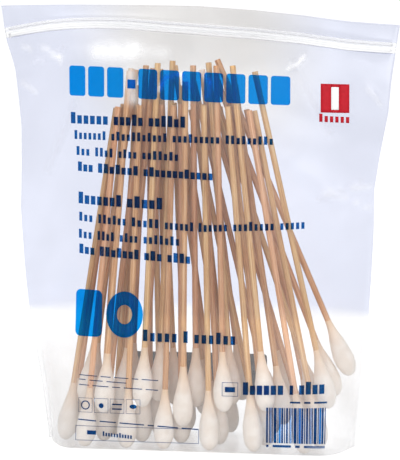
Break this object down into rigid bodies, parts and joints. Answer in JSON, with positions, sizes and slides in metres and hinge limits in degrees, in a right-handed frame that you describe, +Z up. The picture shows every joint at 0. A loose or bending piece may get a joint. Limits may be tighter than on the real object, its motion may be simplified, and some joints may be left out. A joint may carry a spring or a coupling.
{
  "type": "bag of cotton swabs",
  "caption": "Clear press-to-close film bag that stands on its opened-out bottom and holds long single-headed cotton swabs on wooden sticks, heads down.",
  "frame": {"origin": "middle of the bag's bottom, on the surface that it stands on", "axes": "+Z up to the lips of the closure, +X along the bag's width to the viewer's right, -Y towards the viewer"},
  "size_m": [0.173, 0.0428, 0.1928],
  "materials": {
    "film": "clear, thin and glossy",
    "swab": "bare turned birch, with a head of white cotton",
    "cotton": "soft wound cotton, matte"
  },
  "bodies": {
    "root": {"bag": "film", "swab_01": "swab", "swab_02": "swab", "swab_03": "swab", "swab_04": "swab", "swab_05": "swab", "swab_06": "swab", "swab_07": "swab", "swab_08": "swab", "swab_09": "swab", "swab_10": "swab", "swab_11": "swab", "swab_12": "swab", "swab_13": "swab", "swab_14": "swab", "swab_15": "swab", "swab_16": "swab", "swab_17": "swab", "swab_18": "swab", "swab_19": "swab", "swab_20": "swab", "swab_21": "swab", "swab_22": "swab", "swab_23": "swab", "swab_24": "swab", "swab_25": "swab", "swab_26": "swab", "swab_27": "swab", "swab_28": "swab", "swab_29": "swab", "swab_30": "swab", "swab_31": "swab", "swab_32": "swab", "swab_33": "swab", "swab_34": "swab", "swab_35": "swab", "swab_36": "swab", "swab_37": "swab", "swab_38": "swab", "swab_39": "swab", "swab_40": "swab", "swab_41": "swab", "swab_42": "swab", "swab_43": "swab", "swab_44": "swab", "swab_45": "swab", "swab_46": "swab", "swab_47": "swab", "swab_48": "swab", "swab_49": "swab", "swab_50": "swab"}
  },
  "joints": []
}
